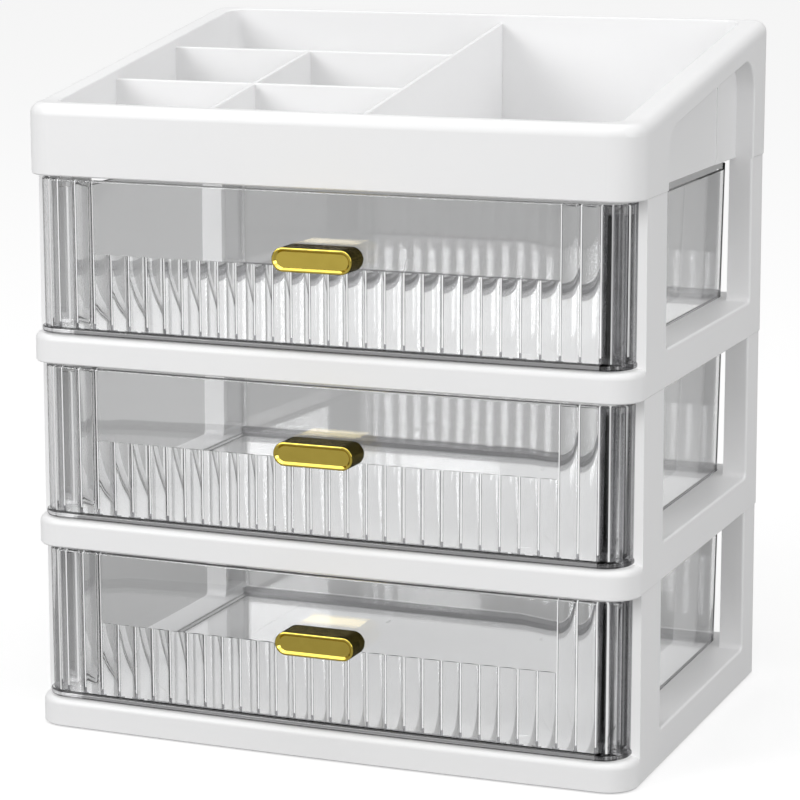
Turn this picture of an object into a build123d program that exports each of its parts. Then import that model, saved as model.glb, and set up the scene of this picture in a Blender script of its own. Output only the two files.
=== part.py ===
from build123d import *
import math
import os

os.makedirs("parts", exist_ok=True)

# Sizes in millimetres. X is the width, the drawers open towards -Y, Z is up.
# The origin is on the table, in the middle of the cabinet's footprint.

# Overall cabinet
width = 250.0
depth = 181.0
front_bow = 1.7
front_corner_r = 12.0
rear_corner_r = 7.0
tier_pitch = 73.9

# Tier frame
shell = 2.2
outer_draft = 0.35
edge_break = 0.5
guide_rail_height = 14.7
guide_rail_width = 15.0
rear_rail_width = 10.5
front_rail_height = 11.6
front_rail_round = 2.8
deck_thickness = 2.4
runner_height = 0.3
runner_width = 3.0
runner_inset = 30.0
post_thickness = 10.0
wall_front_setback = 13.5
rebate_wall = 3.8
rebate_depth = 7.5
window_front_post = 39.4
window_rear_post = 22.4
window_edge_round = 1.0
window_corner_r = 2.2
deck_slot_length = 5.0
deck_slot_width = 1.6
deck_slot_spacing = 71.0
deck_slot_from_rear = 30.0

# Pegs that register one storey on the next
peg_diameter = 4.0
peg_height = 3.5
peg_clearance = 0.08
boss_diameter = 8.0
peg_inset = 5.6
front_peg_y = 30.2
rear_peg_y = 11.3

# Drawer
drawer_floor_gap = 0.4
drawer_floor = 2.0
drawer_wall = 2.0
drawer_front_wall = 2.3
drawer_side_gap = 0.3
drawer_rear_gap = 0.3
drawer_draft = 0.9
drawer_rear_r = 2.2
drawer_inner_r = 1.6
drawer_bottom_round = 2.0
cavity_round = 1.5
drawer_side_drop = 4.9
drawer_rear_rise = 2.6
drawer_top_gap = 1.3
drawer_edge_round = 0.6
front_setback = 1.7
front_side_gap = 0.6
front_end_gap = 1.5
drawer_front_r = 10.0
drawer_front_bow = 1.6
lip_height = 2.3
lip_proud = 1.2
lip_round = 0.8
lip_end_gap = 0.6

# Reeds moulded inside the drawer front
reed_pitch = 7.63
reed_rise = 1.0
short_reeds = 25
full_reeds_each_end = 2
short_reed_height = 29.9

# Handle
handle_length = 32.4
handle_height = 9.2
handle_depth = 12.0
handle_offset_x = 3.4
handle_above_floor = 34.6
handle_rim = 0.8
handle_dish = 0.9
handle_slope = 0.85
handle_edge_round = 0.45
neck_length = 31.0
neck_height = 4.2
neck_depth = 1.5
handle_panel_gap = 0.1
stud_spacing = 18.0
stud_diameter = 3.8
stud_clearance = 0.1
stud_short = 0.3
screw_shank = 2.2
screw_clearance = 0.05
screw_reach = 8.0
screw_head_diameter = 5.6
screw_head_height = 1.6
screw_recess = 0.9
screw_slot_width = 0.8
screw_slot_length = 3.2
screw_seat_gap = 0.05

# Top tray
tray_front_height = 28.0
tray_height_at_centre = 40.8
tray_slope = 0.163
tray_blend_r = 80.0
tray_rim_round = 4.6
tray_skin = 2.2
tub_side_inset = 10.5
tub_front_inset = 8.5
tub_rear_inset = 7.0
tub_corner_r = 7.0
tub_wall = 2.4
tub_edge_round = 0.7
tray_floor = 2.6
divider_thickness = 1.8
divider_drop = 3.5
divider_round = 0.5
front_cross_divider_y = -29.2
rear_cross_divider_y = 26.0
short_divider_x = -52.8
long_divider_x = 10.9
arch_drop = 9.9
arch_near_r = 10.0
arch_far_r = 13.0
arch_edge_round = 0.8
recess_pad_y = 40.0
recess_pad_rise = 0.5
rim_thickness = 3.2
tray_boss_height = 12.0

# Values worked out from the sizes above
half_w = width / 2
front_y = -depth / 2
rear_y = depth / 2
wall_front_y = front_y + wall_front_setback
window_near_y = front_y + window_front_post
window_far_y = rear_y - window_rear_post
guide_x = half_w - guide_rail_width
post_x = half_w - post_thickness
rear_rail_y = rear_y - rear_rail_width
peg_x = half_w - peg_inset
peg_ys = [front_y + front_peg_y, rear_y - rear_peg_y]
pegs = [(side * peg_x, y) for side in (-1, 1) for y in peg_ys]
names = ["bottom", "middle", "top"]


def cut_box(x0, x1, y0, y1, z0, z1):
    """Remove one block, given by its limits, from the part being built."""
    with Locations(((x0 + x1) / 2, (y0 + y1) / 2, (z0 + z1) / 2)):
        Box(x1 - x0, y1 - y0, z1 - z0, mode=Mode.SUBTRACT)


def both_sides(x0, x1, y0, y1, z0, z1):
    """Remove a block on the right and its mirror image on the left."""
    cut_box(x0, x1, y0, y1, z0, z1)
    cut_box(-x1, -x0, y0, y1, z0, z1)


def outline(half, y_front, y_rear, bow, r_front, r_rear):
    """Draw a plan with a gently bowed front edge and rounded corners."""
    with BuildSketch() as plan:
        with BuildLine():
            ThreePointArc((-half, y_front), (0, y_front - bow), (half, y_front))
            Polyline((half, y_front), (half, y_rear), (-half, y_rear), (-half, y_front))
        make_face()
        if r_rear > 0:
            fillet(plan.vertices().sort_by(Axis.Y)[-2:], radius=r_rear)
        if r_front > 0:
            fillet(plan.vertices().sort_by(Axis.Y)[:2], radius=r_front)
    return plan.sketch


def cabinet_outline(inset):
    """Draw the plan of the white mouldings, moved inwards by inset."""
    return outline(
        half_w - inset,
        front_y + inset,
        rear_y - inset,
        front_bow,
        max(front_corner_r - inset, 1.0),
        max(rear_corner_r - inset, 1.0),
    )


def bowed_y(x, half, y_front, bow):
    """Give the Y of a bowed front edge at one X."""
    radius = (half * half + bow * bow) / (2 * bow)
    return y_front - bow + radius - math.sqrt(radius * radius - x * x)


def front_plane(y):
    """Give a plane facing the user, with its local Y upwards."""
    return Plane(origin=(0, y, 0), x_dir=(1, 0, 0), z_dir=(0, -1, 0))


# The three storeys of the cabinet are one moulding used three times:
# a deck inside a hollow rail, and two side walls with windows open at the top.
for storey, name in enumerate(names):
    base = storey * tier_pitch
    top = base + tier_pitch
    deck = base + front_rail_height
    rail = base + guide_rail_height
    with BuildPart() as frame:
        with BuildSketch(Plane.XY.offset(base)):
            add(cabinet_outline(0))
        extrude(amount=tier_pitch, taper=outer_draft)
        chamfer(frame.edges().group_by(Axis.Z)[0], length=edge_break)
        # The front is open above the low front rail, whose top edge is rounded.
        cut_box(-width, width, -width, wall_front_y, deck, top + 1)
        rail_edges = [
            e
            for e in frame.edges()
            if abs(e.center().Z - deck) < 0.01 and e.center().Y < wall_front_y - 0.1
        ]
        fillet(rail_edges, radius=front_rail_round)
        # Room for the drawer between the guide rails, and between the posts above.
        cut_box(-guide_x, guide_x, wall_front_y - 5, rear_rail_y, deck, top + 1)
        cut_box(-post_x, post_x, wall_front_y - 5, rear_y + 5, rail, top + 1)
        # The ends of the drawer front slide into this step in the side walls.
        cut_box(
            rebate_wall - half_w,
            half_w - rebate_wall,
            wall_front_y - 5,
            wall_front_y + rebate_depth,
            deck,
            top + 1,
        )
        # Side windows, open upwards to the next storey.
        with BuildSketch(Plane.YZ.offset(-half_w - 5)):
            with Locations(((window_near_y + window_far_y) / 2, (rail + top + 20) / 2)):
                Rectangle(window_far_y - window_near_y, top + 20 - rail)
        extrude(amount=width + 10, mode=Mode.SUBTRACT)
        corner_edges = [
            e
            for e in frame.edges().filter_by(Axis.X)
            if abs(e.center().Z - rail) < 0.01
            and min(abs(e.center().Y - window_near_y), abs(e.center().Y - window_far_y)) < 0.01
        ]
        fillet(corner_edges, radius=window_corner_r)
        window_edges = [
            e
            for e in frame.edges()
            if abs(e.center().X) > half_w - 0.6
            and window_near_y - 0.1 < e.center().Y < window_far_y + 0.1
            and rail - 0.1 < e.center().Z < top - 0.1
        ]
        fillet(window_edges, radius=window_edge_round)
        # Hollow underside: below the deck, then higher inside the rails.
        with BuildSketch(Plane.XY.offset(base)):
            add(cabinet_outline(shell))
        extrude(amount=front_rail_height - deck_thickness, mode=Mode.SUBTRACT)
        both_sides(
            guide_x + shell,
            half_w - shell - 0.2,
            wall_front_y + rebate_depth + shell,
            rear_y - rear_corner_r - shell,
            base,
            rail - shell,
        )
        cut_box(-guide_x, guide_x, rear_rail_y + shell, rear_y - shell - 0.2, base, rail - shell)
        # The posts are channels, open towards the drawer.
        both_sides(
            post_x - 1,
            half_w - shell - 0.5,
            wall_front_y + rebate_depth + shell,
            window_near_y - shell,
            rail + shell,
            top - shell,
        )
        both_sides(
            post_x - 1,
            half_w - shell - 0.5,
            window_far_y + shell,
            rear_y - shell - 0.5,
            rail + shell,
            top - shell,
        )
        # Bosses under the rails take the pegs of the storey below.
        with BuildSketch(Plane.XY.offset(base)):
            with Locations(*pegs):
                Circle(boss_diameter / 2)
        extrude(amount=guide_rail_height - shell / 2)
        with BuildSketch(Plane.XY.offset(base)):
            with Locations(*pegs):
                Circle(peg_diameter / 2 + peg_clearance)
        extrude(amount=peg_height + 0.6, mode=Mode.SUBTRACT)
        with BuildSketch(Plane.XY.offset(top)):
            with Locations(*pegs):
                Circle(peg_diameter / 2)
        extrude(amount=peg_height)
        peg_rims = [
            e
            for e in frame.edges().filter_by(GeomType.CIRCLE)
            if abs(e.center().Z - top - peg_height) < 0.01
        ]
        chamfer(peg_rims, length=0.5)
        # Two low runners on the deck carry the drawer, and two slots pierce it at the back.
        for side in (-1, 1):
            runner_x = side * (guide_x - runner_inset)
            with Locations((runner_x, (rear_rail_y + wall_front_y) / 2, deck)):
                Box(runner_width, rear_rail_y - wall_front_y - 10, 2 * runner_height)
            slot_x = handle_offset_x + side * deck_slot_spacing / 2
            slot_y = rear_y - deck_slot_from_rear
            cut_box(
                slot_x - deck_slot_width / 2,
                slot_x + deck_slot_width / 2,
                slot_y - deck_slot_length / 2,
                slot_y + deck_slot_length / 2,
                base,
                deck + 1,
            )
    frame.part.label = "tier_frame_" + name
    export_step(frame.part, "parts/tier_frame_" + name + ".step")

# Each drawer is one clear moulding: a drafted box that widens, near the front,
# to a taller front panel that wraps round the corners and stands on a small lip.
panel_half = half_w - rebate_wall - front_side_gap
panel_y = front_y + front_setback
panel_end_y = wall_front_y + rebate_depth - front_end_gap
drawer_height = tier_pitch - drawer_top_gap - front_rail_height - drawer_floor_gap
side_height = drawer_height - drawer_side_drop
lean = math.tan(math.radians(drawer_draft)) * side_height
rail_lean = math.tan(math.radians(drawer_draft)) * (guide_rail_height - front_rail_height)
box_half = guide_x - drawer_side_gap - rail_lean
box_rear = rear_rail_y - drawer_rear_gap - rail_lean
rear_wall_y = box_rear + lean - drawer_wall
step_y = panel_end_y - drawer_wall
box_front = step_y - 2 * drawer_rear_r
reed_count = short_reeds + 2 * full_reeds_each_end
stud_xs = [handle_offset_x - stud_spacing / 2, handle_offset_x + stud_spacing / 2]
panel_face = min(
    bowed_y(handle_offset_x + x, panel_half, panel_y, drawer_front_bow)
    for x in (-neck_length / 2, 0, neck_length / 2)
)
handle_back = panel_face - handle_panel_gap
body_back = handle_back - neck_depth
handle_front = body_back - handle_depth
inner_half = panel_half - drawer_front_wall
inner_y = panel_y + drawer_front_wall
inner_r = drawer_front_r - drawer_front_wall
stud_end = bowed_y(0, inner_half, inner_y, drawer_front_bow) - stud_short
head_edge_x = max(abs(x) for x in stud_xs) + screw_head_diameter / 2
screw_seat = bowed_y(head_edge_x, inner_half, inner_y, drawer_front_bow) + screw_seat_gap
screw_tip = screw_seat - screw_reach

for storey, name in enumerate(names):
    base = storey * tier_pitch
    floor_z = base + front_rail_height + drawer_floor_gap
    inside_z = floor_z + drawer_floor
    handle_z = inside_z + handle_above_floor
    with BuildPart() as box:
        # It starts inside the front section, so only its rear corners show.
        with BuildSketch(Plane.XY.offset(floor_z)):
            with Locations((0, (box_front + box_rear) / 2)):
                RectangleRounded(2 * box_half, box_rear - box_front, drawer_rear_r)
        extrude(amount=side_height + drawer_rear_rise, taper=-drawer_draft)
        fillet(box.edges().group_by(Axis.Z)[0], radius=drawer_bottom_round)
    with BuildPart() as front_room:
        # The inside is as wide as the front as far as a step, where the box starts.
        with BuildSketch(Plane.XY.offset(inside_z)):
            add(outline(inner_half, inner_y, step_y, drawer_front_bow, inner_r, 0))
        extrude(amount=drawer_height)
    with BuildPart() as upper_room:
        # The side walls are lower than the front, and than the rear wall.
        with BuildSketch(Plane.XY.offset(floor_z + side_height)):
            add(outline(inner_half, inner_y, rear_wall_y, drawer_front_bow, inner_r, 0))
        extrude(amount=drawer_height)
    with BuildPart() as box_room:
        with BuildSketch(Plane.XY.offset(inside_z)):
            with Locations((0, (box_front + box_rear - drawer_wall) / 2)):
                RectangleRounded(
                    2 * (box_half - drawer_wall),
                    box_rear - drawer_wall - box_front,
                    drawer_inner_r,
                )
        extrude(amount=drawer_height, taper=-drawer_draft)
        fillet(box_room.edges().group_by(Axis.Z)[0], radius=cavity_round)
    with BuildPart() as reeds:
        # Half-round ribs side by side, the outer ones as tall as the panel.
        for index in range(reed_count):
            middle = (index - (reed_count - 1) / 2) * reed_pitch
            left = middle - reed_pitch / 2
            right = middle + reed_pitch / 2
            face = bowed_y(middle, panel_half, panel_y, drawer_front_bow) + drawer_front_wall
            outer = min(index, reed_count - 1 - index) < full_reeds_each_end
            reed_top = drawer_height - 1 if outer else drawer_floor + short_reed_height
            with BuildSketch(Plane.XY.offset(floor_z + 1)):
                with BuildLine():
                    ThreePointArc((left, face), (middle, face + reed_rise), (right, face))
                    Polyline((right, face), (right, face - 1), (left, face - 1), (left, face))
                make_face()
            extrude(amount=reed_top - 1)
    with BuildPart() as lip:
        with BuildSketch(Plane.XY.offset(floor_z)):
            add(
                outline(
                    panel_half + lip_proud,
                    panel_y - lip_proud,
                    wall_front_y - lip_end_gap,
                    drawer_front_bow,
                    drawer_front_r + lip_proud,
                    0,
                )
            )
        extrude(amount=lip_height)
        under_edges = lip.edges().group_by(Axis.Z)[0].sort_by(Axis.Y)[:-1]
        upper_edges = lip.edges().group_by(Axis.Z)[-1].sort_by(Axis.Y)[:-1]
        fillet(under_edges + upper_edges, radius=lip_round)
    with BuildPart() as drawer:
        with BuildSketch(Plane.XY.offset(floor_z)):
            add(outline(panel_half, panel_y, panel_end_y, drawer_front_bow, drawer_front_r, 0))
        extrude(amount=drawer_height)
        crown = drawer.edges().group_by(Axis.Z)[-1]
        fillet(crown.sort_by(Axis.Y)[:-1], radius=drawer_edge_round)
        add(lip.part)
        add(box.part)
        for room in (front_room, upper_room, box_room):
            add(room.part, mode=Mode.SUBTRACT)
        add(reeds.part)
        # Two holes take the handle's studs.
        with BuildSketch(front_plane(panel_y + 10)):
            with Locations(*[(x, handle_z) for x in stud_xs]):
                Circle(stud_diameter / 2 + stud_clearance)
        extrude(amount=20, mode=Mode.SUBTRACT)
    drawer.part.label = "drawer_" + name
    export_step(drawer.part, "parts/drawer_" + name + ".step")

# The handles are stadium bars with a dished face, each on a thin neck with
# two studs through the panel, held from inside by two small pan-head screws.
for storey, name in enumerate(names):
    base = storey * tier_pitch
    handle_z = base + front_rail_height + drawer_floor_gap + drawer_floor + handle_above_floor
    with BuildPart() as handle:
        with BuildSketch(front_plane(body_back)):
            with Locations((handle_offset_x, handle_z)):
                SlotOverall(handle_length, handle_height)
        extrude(amount=handle_depth)
        fillet(handle.edges().group_by(Axis.Y)[0], radius=handle_edge_round)
        fillet(handle.edges().group_by(Axis.Y)[-1], radius=handle_edge_round)
        # The dish: a sloping border round a flat floor.
        with BuildSketch(front_plane(handle_front)):
            with Locations((handle_offset_x, handle_z)):
                SlotOverall(handle_length - 2 * handle_rim, handle_height - 2 * handle_rim)
        with BuildSketch(front_plane(handle_front + handle_dish)):
            with Locations((handle_offset_x, handle_z)):
                SlotOverall(
                    handle_length - 2 * handle_rim - 2 * handle_slope,
                    handle_height - 2 * handle_rim - 2 * handle_slope,
                )
        loft(mode=Mode.SUBTRACT)
        with BuildSketch(front_plane(handle_back)):
            with Locations((handle_offset_x, handle_z)):
                SlotOverall(neck_length, neck_height)
        extrude(amount=neck_depth)
        with BuildSketch(front_plane(stud_end)):
            with Locations(*[(x, handle_z) for x in stud_xs]):
                Circle(stud_diameter / 2)
        extrude(amount=stud_end - handle_back)
        with BuildSketch(front_plane(stud_end)):
            with Locations(*[(x, handle_z) for x in stud_xs]):
                Circle(screw_shank / 2 + screw_clearance)
        extrude(amount=stud_end - screw_tip + 0.5, mode=Mode.SUBTRACT)
    handle.part.label = "handle_" + name
    export_step(handle.part, "parts/handle_" + name + ".step")

    with BuildPart() as screws:
        with BuildSketch(front_plane(screw_seat)):
            with Locations(*[(x, handle_z) for x in stud_xs]):
                Circle(screw_shank / 2)
        extrude(amount=screw_reach)
        chamfer(screws.edges().group_by(Axis.Y)[0], length=0.3)
        with BuildSketch(front_plane(screw_seat)):
            with Locations(*[(x, handle_z) for x in stud_xs]):
                Circle(screw_head_diameter / 2)
        extrude(amount=-screw_head_height)
        fillet(screws.edges().group_by(Axis.Y)[-1], radius=0.6)
        # A cross recess for the driver.
        with BuildSketch(front_plane(screw_seat + screw_head_height - screw_recess)):
            with Locations(*[(x, handle_z) for x in stud_xs]):
                Rectangle(screw_slot_length, screw_slot_width)
                Rectangle(screw_slot_width, screw_slot_length)
        extrude(amount=-screw_recess, mode=Mode.SUBTRACT)
    screws.part.label = "handle_screws_" + name
    export_step(screws.part, "parts/handle_screws_" + name + ".step")


def tray_profile(seam, drop):
    """Draw the side view of the tray: level at the front, then sloping up to the back."""
    kink_y = (tray_front_height - tray_height_at_centre) / tray_slope
    rear_height = tray_height_at_centre + tray_slope * (rear_y + 20)
    with BuildSketch() as profile:
        with BuildLine():
            Polyline(
                (front_y - 20, seam),
                (rear_y + 20, seam),
                (rear_y + 20, seam + rear_height - drop),
                (kink_y, seam + tray_front_height - drop),
                (front_y - 20, seam + tray_front_height - drop),
                close=True,
            )
        make_face()
        kink = profile.vertices().sort_by_distance((kink_y, seam + tray_front_height - drop, 0))
        fillet(kink[0], radius=tray_blend_r)
    return profile.sketch


# The tray is one moulding: a tub with a floor and dividers inside a hollow
# white skin that is open underneath, recessed at both sides above the windows.
seam = len(names) * tier_pitch
tub_half = half_w - tub_side_inset
tub_front = front_y + tub_front_inset
tub_rear = rear_y - tub_rear_inset
recess_x = tub_half + tub_wall

with BuildPart() as hollow:
    # Two pockets between the skin and the tub, apart where the sides are recessed.
    with BuildSketch(Plane.XY.offset(seam)):
        add(cabinet_outline(tray_skin))
        add(
            outline(
                tub_half + tub_wall,
                tub_front - tub_wall,
                tub_rear + tub_wall,
                front_bow,
                tub_corner_r + tub_wall,
                tub_corner_r + tub_wall,
            ),
            mode=Mode.SUBTRACT,
        )
        with Locations((0, (window_near_y + window_far_y) / 2)):
            Rectangle(
                width,
                window_far_y - window_near_y + 2 * tray_skin,
                mode=Mode.SUBTRACT,
            )
    extrude(amount=2 * tier_pitch)
    with BuildSketch(Plane.YZ):
        add(tray_profile(seam, rim_thickness))
    extrude(amount=width, both=True, mode=Mode.INTERSECT)
with BuildPart() as recess:
    # The window shape carried up into the side of the tray, its top parallel to the rim.
    near_top = tray_height_at_centre + tray_slope * window_near_y - arch_drop
    far_top = tray_height_at_centre + tray_slope * window_far_y - arch_drop
    with BuildSketch(Plane.YZ.offset(-width)) as arch:
        with BuildLine():
            Polyline(
                (window_near_y, seam - 20),
                (window_far_y, seam - 20),
                (window_far_y, seam + far_top),
                (window_near_y, seam + near_top),
                close=True,
            )
        make_face()
        fillet(arch.vertices().sort_by(Axis.Y)[-1], radius=arch_far_r)
        near = arch.vertices().sort_by_distance((window_near_y, seam + near_top, 0))
        fillet(near[0], radius=arch_near_r)
    extrude(amount=2 * width)
    cut_box(-recess_x, recess_x, -width, width, seam - 30, seam + 2 * tier_pitch)
    # Towards the back the recessed wall stands out as a low pad.
    pad_x = recess_x + recess_pad_rise
    cut_box(-pad_x, pad_x, recess_pad_y, width, seam - 30, seam + 2 * tier_pitch)
with BuildPart() as dividers:
    with BuildSketch(Plane.XY.offset(seam + tray_floor / 2)):
        left_span = long_divider_x + tub_half
        left_middle = (long_divider_x - tub_half) / 2
        for y in (front_cross_divider_y, rear_cross_divider_y):
            with Locations((left_middle, y + divider_thickness / 2)):
                Rectangle(left_span, divider_thickness)
        with Locations((long_divider_x - divider_thickness / 2, (tub_front + tub_rear) / 2)):
            Rectangle(divider_thickness, tub_rear - tub_front)
        short_span = rear_cross_divider_y - tub_front + 1
        with Locations((short_divider_x - divider_thickness / 2, tub_front + short_span / 2)):
            Rectangle(divider_thickness, short_span)
    extrude(amount=2 * tier_pitch)
    with BuildSketch(Plane.YZ):
        add(tray_profile(seam, divider_drop))
    extrude(amount=width, both=True, mode=Mode.INTERSECT)
    long_edges = [
        e
        for e in dividers.edges()
        if (e @ 0.5).Z > seam + tray_front_height - divider_drop - 0.5
        and e.length > 3 * divider_thickness
    ]
    fillet(long_edges, radius=divider_round)
with BuildPart() as tray:
    with BuildSketch(Plane.XY.offset(seam)):
        add(cabinet_outline(0))
    extrude(amount=2 * tier_pitch)
    chamfer(tray.edges().group_by(Axis.Z)[0], length=edge_break)
    with BuildSketch(Plane.YZ):
        add(tray_profile(seam, 0))
    extrude(amount=width, both=True, mode=Mode.INTERSECT)
    rim_edges = [e for e in tray.edges() if (e @ 0.5).Z > seam + tray_front_height - 1]
    fillet(rim_edges, radius=tray_rim_round)
    with BuildSketch(Plane.XY.offset(seam + tray_floor)):
        add(outline(tub_half, tub_front, tub_rear, front_bow, tub_corner_r, tub_corner_r))
    extrude(amount=2 * tier_pitch, mode=Mode.SUBTRACT)
    mouth_edges = [
        e
        for e in tray.edges()
        if (e @ 0.5).Z > seam + tray_front_height - 1
        and abs((e @ 0.5).X) < tub_half + 0.01
        and tub_front - front_bow - 0.01 < (e @ 0.5).Y < tub_rear + 0.01
    ]
    fillet(mouth_edges, radius=tub_edge_round)
    add(recess.part, mode=Mode.SUBTRACT)
    arch_edges = [
        e
        for e in tray.edges()
        if abs((e @ 0.5).X) > half_w - 0.01
        and window_near_y - 0.01 < (e @ 0.5).Y < window_far_y + 0.01
        and seam + 1 < (e @ 0.5).Z < seam + far_top + 0.01
        and e.length < window_far_y - window_near_y
    ]
    fillet(arch_edges, radius=arch_edge_round)
    add(hollow.part, mode=Mode.SUBTRACT)
    with BuildSketch(Plane.XY.offset(seam)):
        with Locations(*pegs):
            Circle(boss_diameter / 2)
    extrude(amount=tray_boss_height)
    with BuildSketch(Plane.XY.offset(seam)):
        with Locations(*pegs):
            Circle(peg_diameter / 2 + peg_clearance)
    extrude(amount=peg_height + 0.6, mode=Mode.SUBTRACT)
    add(dividers.part)
tray.part.label = "top_tray"
export_step(tray.part, "parts/top_tray.step")
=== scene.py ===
# %% [markdown]
# # A desktop storage drawer
# This lesson dresses a finished CAD model: a white cabinet of stacked storeys,
# clear ribbed drawers with gold handles, and a sloping tray on top. The shapes
# come from the CAD, in metres, with Z up and the drawers opening towards -Y.
# What is left to do here is the finish of each surface, the light and the camera.

# %% Load the cabinet
import math

import bpy
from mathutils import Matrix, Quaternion, Vector

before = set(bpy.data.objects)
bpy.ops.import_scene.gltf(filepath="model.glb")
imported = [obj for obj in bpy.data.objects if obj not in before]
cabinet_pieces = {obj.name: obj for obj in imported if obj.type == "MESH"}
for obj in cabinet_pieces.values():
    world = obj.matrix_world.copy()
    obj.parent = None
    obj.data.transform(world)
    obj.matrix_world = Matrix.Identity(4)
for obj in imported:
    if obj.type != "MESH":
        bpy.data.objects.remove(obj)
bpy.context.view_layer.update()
print("loaded", sorted(cabinet_pieces))

# %% [markdown]
# ## Shader maths as Python
# A finish is a small network of nodes. Drawing it by hand is slow to read back,
# so one class wraps a socket: `1 - mask` or `dust * 0.2` adds the Math node that
# does it, and `node` adds any other kind, with its settings first and then the
# values or wires that go into it.


# %% A socket that can be calculated with
class Wire:
    """A node's output; arithmetic on it adds Math nodes to its material."""

    def __init__(self, tree, socket=None):
        self.tree = tree
        self.socket = socket

    def node(self, kind, settings, inputs, output=0):
        made = self.tree.nodes.new(kind)
        for name, value in settings.items():
            setattr(made, name, value)
        for name, value in inputs.items():
            if isinstance(value, Wire):
                self.tree.links.new(value.socket, made.inputs[name])
            else:
                made.inputs[name].default_value = value
        return Wire(self.tree, made.outputs[output] if made.outputs else None)

    def maths(self, operation, first, second):
        return self.node("ShaderNodeMath", {"operation": operation}, {0: first, 1: second})

    def __add__(self, other):
        return self.maths("ADD", self, other)

    def __sub__(self, other):
        return self.maths("SUBTRACT", self, other)

    def __rsub__(self, other):
        return self.maths("SUBTRACT", other, self)

    def __mul__(self, other):
        return self.maths("MULTIPLY", self, other)

    __radd__ = __add__
    __rmul__ = __mul__


def new_finish(name):
    """Make an empty material and return it with a Wire to build its nodes from."""
    finish = bpy.data.materials.new(name)
    finish.use_nodes = True
    finish.node_tree.nodes.clear()
    return finish, Wire(finish.node_tree)


def cover(finish, surface):
    """Connect a shader to the material's output."""
    surface.node("ShaderNodeOutputMaterial", {}, {"Surface": surface})
    print("finish", finish.name, "has", len(finish.node_tree.nodes), "nodes")


# %% [markdown]
# ## Places, noises and masks
# Every pattern here is drawn from the place of a point on the piece, so it moves
# with a drawer that slides out. A mask is a number that is 1 inside a region and
# 0 outside it: comparing a place with a limit gives one, and multiplying two
# masks gives the region that they share.


# %% Places, noises and masks
def place_on(start):
    """The point on the surface, in metres, which moves with the piece."""
    return start.node("ShaderNodeTexCoord", {}, {}, "Object")


def part_of(vector, axis):
    """The X, Y or Z of a place or a direction."""
    return vector.node("ShaderNodeSeparateXYZ", {}, {0: vector}, axis)


def stretched(place, blobs):
    """The place, scaled so that a noise of scale 1 has so many blobs per metre."""
    return place.node("ShaderNodeVectorMath", {"operation": "MULTIPLY"}, {0: place, 1: blobs})


def noise(place, scale, detail):
    """Cloudy grain with about `scale` blobs to the metre."""
    return place.node(
        "ShaderNodeTexNoise",
        {"noise_dimensions": "3D"},
        {"Vector": place, "Scale": scale, "Detail": detail, "Roughness": 0.5},
        "Fac",
    )


def ramp(value, low, high, at_low, at_high):
    """Turn low..high into at_low..at_high, and stay level beyond both ends."""
    return value.node(
        "ShaderNodeMapRange", {}, {0: value, 1: low, 2: high, 3: at_low, 4: at_high}
    )


def above(value, limit):
    """1 where the value is over the limit."""
    return value.maths("GREATER_THAN", value, limit)


def below(value, limit):
    """1 where the value is under the limit."""
    return value.maths("LESS_THAN", value, limit)


def either(first, second):
    """1 where one mask or the other is 1."""
    return first.maths("MAXIMUM", first, second)


def size_of(value):
    """The value without its sign."""
    return value.maths("ABSOLUTE", value, 0.0)


def ray_is(start, question):
    """What kind of ray has arrived here, such as "Is Shadow Ray"."""
    return start.node("ShaderNodeLightPath", {}, {}, question)


def bump(start, strength, distance, height):
    """A slight relief that only the light sees."""
    return start.node(
        "ShaderNodeBump", {}, {"Strength": strength, "Distance": distance, "Height": height}
    )


def blend_colours(amount, first, second):
    """Mix two colours by an amount from 0 to 1."""
    return amount.node("ShaderNodeMix", {"data_type": "RGBA"}, {0: amount, 6: first, 7: second}, 2)


def blend_shaders(amount, first, second):
    """Mix two surfaces by an amount from 0 to 1."""
    return amount.node("ShaderNodeMixShader", {}, {0: amount, 1: first, 2: second})


def grey(level, blue=0.0):
    """A neutral colour, with a little more blue if asked for."""
    return (level, level, level + blue, 1)


print("a mid grey is", grey(0.5))

# %% [markdown]
# ## White moulded plastic
# The storeys and the tray are moulded in white polystyrene. Such a moulding is
# never perfectly even: the surface carries a very fine grain from the tool, the
# gloss drifts a little where the melt cooled faster, and the white is a touch
# warmer in some places. Flat colour would look like paper, so three noises of
# different size drive the colour, the roughness and a faint bump.

# %% White moulded plastic
white_finish, start = new_finish("white_moulding")
place = place_on(start)
flow = noise(place, 14, 3)
grain = noise(place, 1400, 2)
orange_peel = noise(place, 160, 2)
surface = start.node(
    "ShaderNodeBsdfPrincipled",
    {},
    {
        "Base Color": blend_colours(flow, (0.845, 0.845, 0.85, 1), (0.87, 0.87, 0.872, 1)),
        "Roughness": 0.30 + 0.10 * flow + 0.06 * grain,
        "IOR": 1.5,
        "Normal": bump(start, 0.08, 0.0002, grain + 2 * orange_peel),
    },
)
cover(white_finish, surface)

# %% [markdown]
# ## Clear moulded plastic
# The drawers are clear polystyrene, which bends light a little more than
# acrylic does, so its index is 1.58. Real walls are slightly wavy and the melt
# leaves faint flow lines, which is what makes clear plastic look moulded and
# not like window glass. The body of the plastic comes first, and the next cells
# work out where painted shade and painted highlights make a drawer look darker
# or brighter than its shape alone gives.

# %% Clear moulded plastic
styrene_index = 1.58
clear_finish, start = new_finish("clear_moulding")
place = place_on(start)
swirl = noise(place, 9, 2)
haze = noise(place, 260, 3)
solid = start.node(
    "ShaderNodeBsdfPrincipled",
    {},
    {
        "Base Color": blend_colours(haze, (0.975, 0.98, 0.985, 1), grey(0.99)),
        "Roughness": 0.01 + 0.02 * haze,
        "IOR": styrene_index,
        "Transmission Weight": 1.0,
        "Normal": bump(start, 0.12, 0.0006, swirl + 0.02 * haze),
    },
)
mirrored_share = ((styrene_index - 1) / (styrene_index + 1)) ** 2
print("head-on, each face mirrors", round(mirrored_share, 3), "of the light")

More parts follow.
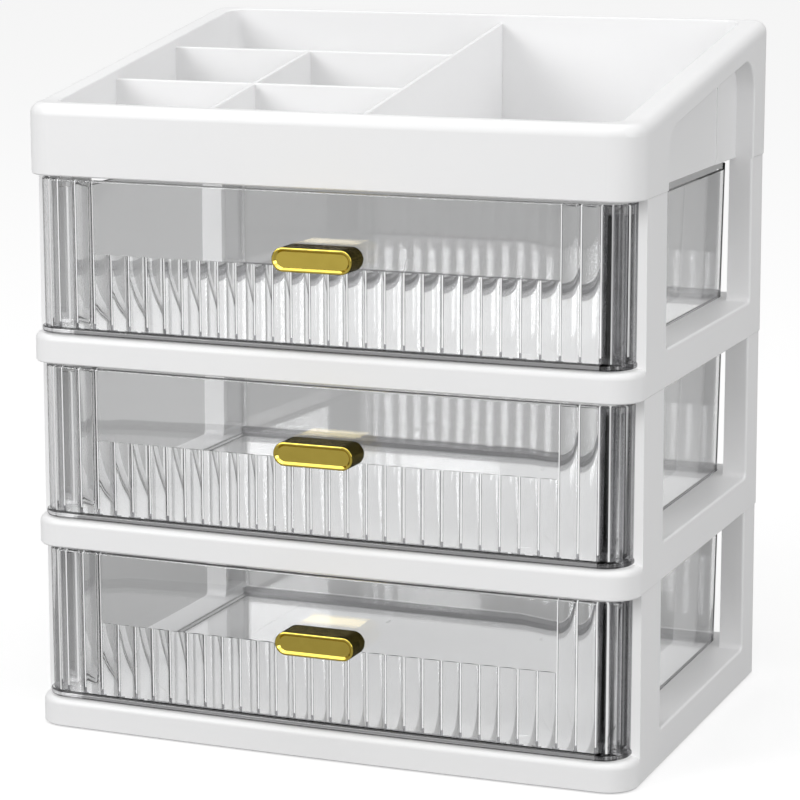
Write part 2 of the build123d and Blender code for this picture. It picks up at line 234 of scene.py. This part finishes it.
# %% [markdown]
# ## Finding the way on a drawer
# All three drawers share one finish. The height is therefore counted from the
# bottom of each storey: the remainder after dividing by the storey's pitch. The
# inner face of the front is where the surface, seen from outside the plastic,
# faces away from the front. A ray that meets it from inside the plastic finds
# the direction turned round, which the Backfacing output puts right.

# %% Finding the way on a drawer
storey_pitch = 0.0739
front_wall_inner_y = -0.0865
front_corner_y = -0.06
across = part_of(place, "X")
along = part_of(place, "Y")
up = part_of(place, "Z")
in_storey = up.maths("MODULO", up, storey_pitch)
off_middle = size_of(across)
facing = part_of(start.node("ShaderNodeNewGeometry", {}, {}, "True Normal"), "Y")
from_inside = start.node("ShaderNodeNewGeometry", {}, {}, "Backfacing")
outward = facing * (1 - 2 * from_inside)
inner_face = above(outward, 0.1) * below(along, front_corner_y)
front_wall = below(along, front_wall_inner_y)
print("storeys repeat every", storey_pitch, "m")

# %% [markdown]
# ## The roots between the reeds
# Half-round reeds stand side by side inside each front. Between two of them the
# mould leaves a narrow root. On it the colour paints a highlight: a thin glowing
# line with a painted dark edge, which ends in a small painted dark foot. Most
# reeds are short, and only the outer two at each end are as tall as the front.
# Ping-pong folds the width into the distance from the nearest reed's crest, so
# one comparison marks all the roots.

# %% The roots between the reeds
reed_pitch = 0.00763
root_half_width = 0.00026
edge_half_width = 0.00052
short_reed_top = 0.0439
tall_reeds_from = 0.0953
root_foot_top = 0.0165
from_crest = across.maths("PINGPONG", across, reed_pitch / 2)
at_root = above(from_crest, reed_pitch / 2 - root_half_width)
near_root = above(from_crest, reed_pitch / 2 - edge_half_width)
reeded = either(above(off_middle, tall_reeds_from), below(in_storey, short_reed_top))
# Painted highlight along each root, with a painted dark edge beside it and a painted dark foot at
# its bottom.
root_highlight = at_root * inner_face * reeded
root_edge_shade = (near_root - at_root) * inner_face * reeded
root_foot_shade = near_root * inner_face * below(in_storey, root_foot_top)
print("reeds repeat every", reed_pitch, "m")

# %% [markdown]
# ## Lip, corners and foot
# Thick plastic is not as clear as a thin wall. The lip under each front and the
# front edge of the floor look slightly milky, with painted dark lines of shade
# where the lip begins and ends. The thick front corners get painted shade in
# upright streaks, heavier on the right, with one painted highlight line down the
# bend. The rounding at the foot of the rear wall gets painted shade too, and the
# reeds in front of it show it as dark arcs.

# %% Lip, corners and foot
lip_top = 0.0143
lip_bottom_line = 0.0127
lip_line_half_width = 0.00035
corner_from = 0.1112
corner_back_y = -0.072
corner_line_at = 0.1143
corner_line_half_width = 0.00032
foot_front_y = 0.0745
foot_top = 0.0175
at_lip = below(in_storey, lip_top) * front_wall
lip_edge = below(size_of(in_storey - lip_top), lip_line_half_width)
# Painted shade: dark lines where the lip begins and ends.
lip_shade_lines = either(lip_edge, below(in_storey, lip_bottom_line)) * front_wall
corner = above(off_middle, corner_from) * below(along, corner_back_y)
# Painted highlight: one bright line down the bend of each thick corner.
corner_highlight = below(size_of(off_middle - corner_line_at), corner_line_half_width) * inner_face
streaks = noise(stretched(place, (560.0, 320.0, 4.0)), 1.0, 2)
# Painted shade in upright streaks on the thick corners, heavier on the right.
shade_heavier_on_right = 0.3 + 0.7 * above(across, 0.0)
painted_corner_shade = corner * shade_heavier_on_right * ramp(streaks, 0.42, 0.56, 0.85, 0.15)
# Painted shade at the foot of the rear wall.
rear_foot_shade = above(along, foot_front_y) * below(in_storey, foot_top)
print("the lip reaches", lip_top, "m above the bottom of its storey")

# %% [markdown]
# ## Putting the clear plastic together
# The layers go on one after another, each by a Mix Shader: milky, then painted
# shade, then painted highlights that glow. Two more mixes deal with light. A path
# tracer can't aim at a lamp through a solid that bends light, so for shadow rays
# and for rays that bounced off a matt surface the plastic turns see-through: the
# pieces inside and behind the drawer are then lit as they should be, a little
# less so through the lip. And in a handle's mirror the drawer is turned nearly
# dark, a painted dark reflection which gives the handle its dark edges.

# %% Putting the clear plastic together
milk = start.node("ShaderNodeBsdfDiffuse", {}, {"Color": grey(0.75, 0.01)})
# A dark see-through sheet that carries the painted shade.
shade_sheet = start.node("ShaderNodeBsdfTransparent", {}, {"Color": grey(0.35, 0.01)})
# A glow that carries the painted highlights.
painted_highlight_glow = start.node("ShaderNodeEmission", {}, {"Color": grey(1), "Strength": 0.95})
# A nearly dark sheet for the painted dark reflection in the handles.
dark_reflection_sheet = start.node("ShaderNodeBsdfTransparent", {}, {"Color": grey(0.1)})
thin_wall = start.node("ShaderNodeBsdfTransparent", {}, {"Color": grey(0.99)})
thick_lip = start.node("ShaderNodeBsdfTransparent", {}, {"Color": grey(0.7)})

# Painted shade is gathered first, then painted highlights.
corner_shade = painted_corner_shade * (1 - corner_highlight)
painted_shade = corner_shade + 0.65 * root_edge_shade + 0.5 * rear_foot_shade + 0.7 * lip_shade_lines + 0.8 * root_foot_shade
painted_highlights = 0.9 * root_highlight * (1 - root_foot_shade) + 0.85 * corner_highlight
milky_layer = blend_shaders(0.36 * at_lip, solid, milk)
painted_shade_layer = blend_shaders(painted_shade, milky_layer, shade_sheet)
painted_highlight_layer = blend_shaders(painted_highlights, painted_shade_layer, painted_highlight_glow)

# Painted reflection: a handle's mirror sees the drawer as a nearly dark sheet, which draws the
# handle's dark edges.
first_bounce = below(ray_is(start, "Ray Depth"), 1.5)
not_refracted = 1 - ray_is(start, "Is Transmission Ray")
in_handle = first_bounce * ray_is(start, "Is Glossy Ray") * not_refracted
mirrored_layer = blend_shaders(0.9 * in_handle, painted_highlight_layer, dark_reflection_sheet)
seeking_light = either(ray_is(start, "Is Shadow Ray"), ray_is(start, "Is Diffuse Ray"))
light_through = blend_shaders(at_lip, thin_wall, thick_lip)
cover(clear_finish, blend_shaders(seeking_light, mirrored_layer, light_through))

# %% [markdown]
# ## Gold plating
# The handles are plated and polished. A mirror finish shows mostly what is
# round it, so the base colour is a saturated gold and the roughness is low,
# with fine polishing scratches that run along the bar.

# %% Gold plating
gold_finish, start = new_finish("gold_plating")
place = place_on(start)
polish = noise(stretched(place, (60.0, 900.0, 2600.0)), 1.0, 3)
tarnish = noise(place, 220, 3)
surface = start.node(
    "ShaderNodeBsdfPrincipled",
    {},
    {
        "Base Color": blend_colours(tarnish, (0.60, 0.46, 0.085, 1), (0.70, 0.545, 0.11, 1)),
        "Metallic": 1.0,
        "Roughness": 0.07 + 0.08 * polish,
        "Normal": bump(start, 0.05, 0.00005, polish),
    },
)
cover(gold_finish, surface)

# %% [markdown]
# ## Zinc on the screws
# The little screws that hold the handles are zinc plated, which dries with a
# faintly blue, cloudy sheen.

# %% Zinc on the screws
zinc_finish, start = new_finish("zinc_screw")
bloom = noise(place_on(start), 900, 4)
surface = start.node(
    "ShaderNodeBsdfPrincipled",
    {},
    {
        "Base Color": blend_colours(bloom, (0.60, 0.62, 0.66, 1), (0.76, 0.76, 0.75, 1)),
        "Metallic": 1.0,
        "Roughness": 0.25 + 0.2 * bloom,
    },
)
cover(zinc_finish, surface)

# %% [markdown]
# ## Dressing the pieces
# A piece's name starts with what it is, so the start of the name picks the
# finish. The screws come before the handles, because both begin alike.

# %% Dress the pieces
finishes = {
    "tier_frame": white_finish,
    "top_tray": white_finish,
    "drawer": clear_finish,
    "handle_screws": zinc_finish,
    "handle": gold_finish,
}
for name, piece in cabinet_pieces.items():
    kind = next(k for k in finishes if name.startswith(k))
    piece.data.materials.clear()
    piece.data.materials.append(finishes[kind])
    print(name, "wears", finishes[kind].name, "on", len(piece.data.polygons), "faces")

# %% [markdown]
# ## The studio
# The floor is a plain pale sheet. To the camera it is lifted almost to white,
# and what is left of its shading keeps the soft shadow under the cabinet. Seen
# through the clear plastic it is a quiet grey behind the cabinet, as a grey card
# laid there would be, and pale on both sides of that. The card's edges run
# away from the cabinet like a fan, so the slant from its middle marks them.

# %% Floor
bpy.ops.mesh.primitive_plane_add(size=14, location=(0, 0, -0.0005))
floor = bpy.context.object
floor.name = "studio_floor"
floor_finish, start = new_finish("studio_floor")
card_turn = math.radians(21.755)
card_across = (math.cos(card_turn), math.sin(card_turn), 0)
card_away = (-math.sin(card_turn), math.cos(card_turn), 0)
card_from = 0.12
card_side, card_fade_end = 0.33, 0.37
fan_point_distance = 0.3
lift_for_camera, lift_beside_card = 0.62, 0.5
spot = place_on(start)
sideways, backwards = (
    spot.node("ShaderNodeVectorMath", {"operation": "DOT_PRODUCT"}, {0: spot, 1: axis}, "Value")
    for axis in (card_across, card_away)
)
slant = sideways.maths("DIVIDE", sideways, backwards + fan_point_distance)
right_of_card = ramp(slant, card_side, card_fade_end, 0.0, 1.0)
left_of_card = ramp(slant, -card_side, -card_fade_end, 0.0, 1.0)
beside_card = above(backwards, card_from) * (right_of_card + left_of_card)
lift = lift_for_camera * ray_is(start, "Is Camera Ray")
lift = lift + lift_beside_card * ray_is(start, "Is Transmission Ray") * beside_card
matt = start.node("ShaderNodeBsdfDiffuse", {}, {"Color": grey(0.46)})
unlit = start.node("ShaderNodeEmission", {}, {"Strength": 0.0})
glow = start.node("ShaderNodeEmission", {}, {"Color": grey(1), "Strength": 1.0})
lifted = blend_shaders(lift, unlit, glow)
cover(floor_finish, start.node("ShaderNodeAddShader", {}, {0: matt, 1: lifted}))
floor.data.materials.append(floor_finish)

# %% [markdown]
# ## The room
# The camera sees a white room. Polished metal sees it as a real studio: dim
# along the horizon and bright overhead, which draws brown edges and bright rims
# on gold. Clear plastic sees a bright wall that goes dark just above the floor.

# %% World
world = bpy.data.worlds.new("studio")
bpy.context.scene.world = world
world.use_nodes = True
world.node_tree.nodes.clear()
start = Wire(world.node_tree)
height = part_of(start.node("ShaderNodeTexCoord", {}, {}, "Generated"), "Z")
soft_sky = ramp(height, 0.0, 0.6, 0.42, 0.66)
mirror_sky = ramp(height, 0.12, 0.5, 0.16, 0.95) + ramp(height, 0.55, 0.8, 0.0, 1.7)
clear_sky = ramp(height, 0.02, 0.1, 0.1, 1.12)
room = soft_sky + ray_is(start, "Is Glossy Ray") * (mirror_sky - soft_sky)
room = room + ray_is(start, "Is Transmission Ray") * (clear_sky - room)
strength = room + ray_is(start, "Is Camera Ray") * (1 - room)
backdrop = start.node("ShaderNodeBackground", {}, {"Color": grey(1), "Strength": strength})
start.node("ShaderNodeOutputWorld", {}, {"Surface": backdrop})
print("the room has", len(world.node_tree.nodes), "nodes")

# %% [markdown]
# ## Lamps
# One large softbox in front and to the left makes the fronts the brightest
# faces. A weaker one on the right keeps the side grey, and a high one fills the
# tray.

# %% Lamps
cabinet_middle = Vector((0, 0, 0.13))


def softbox(name, position, size, power):
    """A square lamp that faces the middle of the cabinet."""
    data = bpy.data.lights.new(name, "AREA")
    data.shape = "SQUARE"
    data.size = size
    data.energy = power
    lamp = bpy.data.objects.new(name, data)
    bpy.context.scene.collection.objects.link(lamp)
    lamp.location = position
    aim = cabinet_middle - Vector(position)
    lamp.rotation_mode = "QUATERNION"
    lamp.rotation_quaternion = aim.to_track_quat("-Z", "Y")
    print(name, power, "W at", round(aim.length, 2), "m")


softbox("front_left_softbox", (-1.3, -1.9, 1.0), 1.2, 25.5)
softbox("right_softbox", (2.0, -0.8, 0.9), 1.0, 12.5)
softbox("high_softbox", (0.2, -0.6, 2.3), 1.4, 6.2)

# %% [markdown]
# ## Camera
# The lens and its place were worked out from the cabinet's own edges in the
# photograph, so the render lies over it.

# %% Camera
camera_data = bpy.data.cameras.new("camera")
camera_data.sensor_width = 36.0
camera_data.lens = 131.72
camera_data.clip_start = 0.05
camera_data.clip_end = 50
camera = bpy.data.objects.new("camera", camera_data)
bpy.context.scene.collection.objects.link(camera)
bpy.context.scene.camera = camera
turn, tilt, roll = math.radians(21.755), math.radians(11.107), math.radians(-0.049)
look = Vector(
    (-math.sin(turn) * math.cos(tilt), math.cos(turn) * math.cos(tilt), -math.sin(tilt))
)
camera.location = (0.43142, -1.08777, 0.35465)
camera.rotation_mode = "QUATERNION"
camera.rotation_quaternion = look.to_track_quat("-Z", "Y") @ Quaternion((0, 0, 1), roll)
print("the camera is", round(camera.location.length, 2), "m from the cabinet")

# %% [markdown]
# ## Colour view
# The Standard view shows each colour as it was worked out, with no film curve
# over it.

# %% Colour view
bpy.context.scene.view_settings.view_transform = "Standard"
